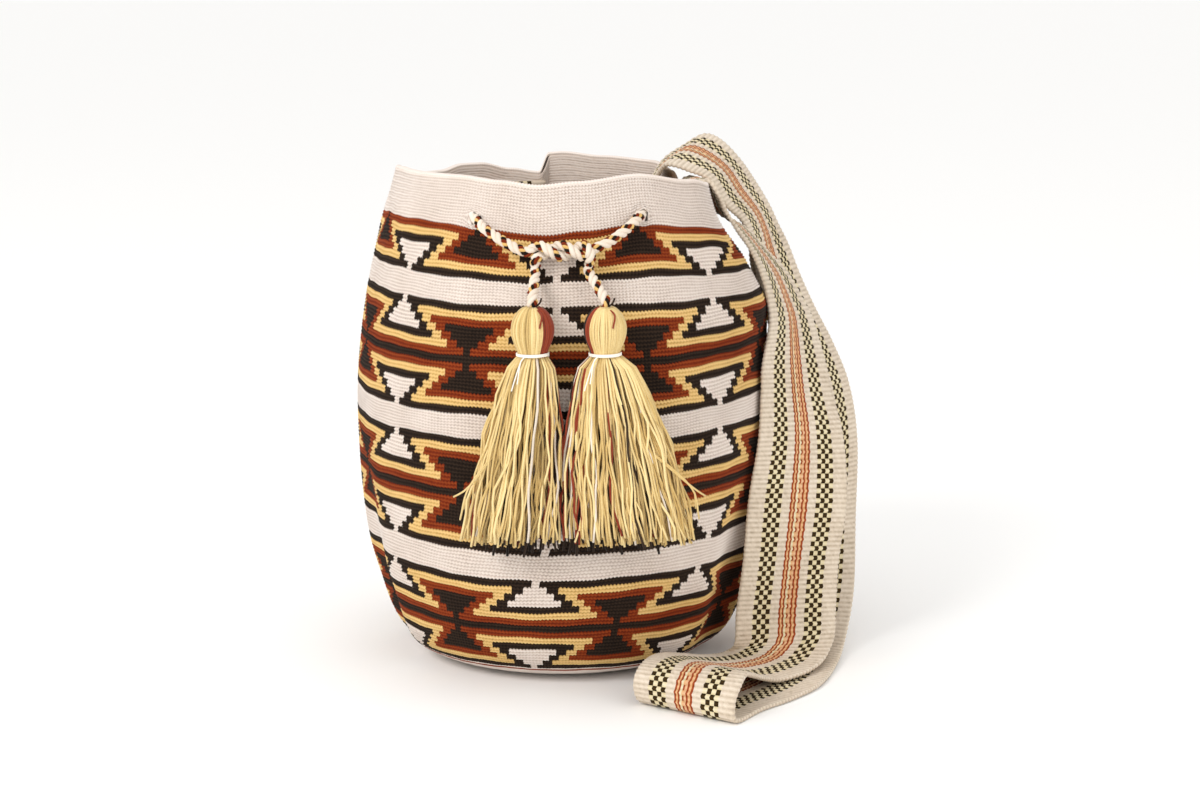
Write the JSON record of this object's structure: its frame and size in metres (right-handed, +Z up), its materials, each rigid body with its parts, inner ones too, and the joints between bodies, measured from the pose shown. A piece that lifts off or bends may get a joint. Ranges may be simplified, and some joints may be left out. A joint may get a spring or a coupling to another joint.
{
  "type": "crocheted drawstring shoulder bag",
  "caption": "Cylindrical crocheted shoulder bag with a flat base, tasselled drawstring and long woven strap lying beside it",
  "frame": {"origin": "centre of the underside of the round base", "axes": "+Z up through the mouth, -Y out of the front where the tassels hang, +X towards the side where the strap lies"},
  "size_m": [0.3099, 0.2979, 0.3084],
  "materials": {
    "crochet_cotton": "matt crocheted cotton, cream with dark brown, rust and mustard geometric bands",
    "strap_webbing": "ribbed warp-faced cotton webbing, cream with a rust centre column and two dark checker columns",
    "twisted_cord": "twisted cotton cord, white with dark, rust and mustard strands",
    "tassel_yarn": "mercerised straw-yellow yarn with a few rust, white and dark strands",
    "sewing_thread": "plain white cotton thread"
  },
  "bodies": {
    "bag": {"crochet_bag": "crochet_cotton", "strap": "strap_webbing", "strap_stitching_back": "sewing_thread", "strap_stitching_right": "sewing_thread", "drawstring": "twisted_cord"},
    "tassel_left": {"drop_left": "twisted_cord", "tassel_left": "tassel_yarn", "tie_left": "sewing_thread"},
    "tassel_right": {"drop_right": "twisted_cord", "tassel_right": "tassel_yarn", "tie_right": "sewing_thread"}
  },
  "joints": [
    {"name": "tassel_left_swing", "type": "hinge", "parent": "bag", "child": "tassel_left", "pos_m": [-0.015, -0.121, 0.2472], "axis": [-1, 0, 0], "range_deg": [0, 75]},
    {"name": "tassel_right_swing", "type": "hinge", "parent": "bag", "child": "tassel_right", "pos_m": [0.015, -0.121, 0.2472], "axis": [-1, 0, 0], "range_deg": [0, 75]}
  ]
}
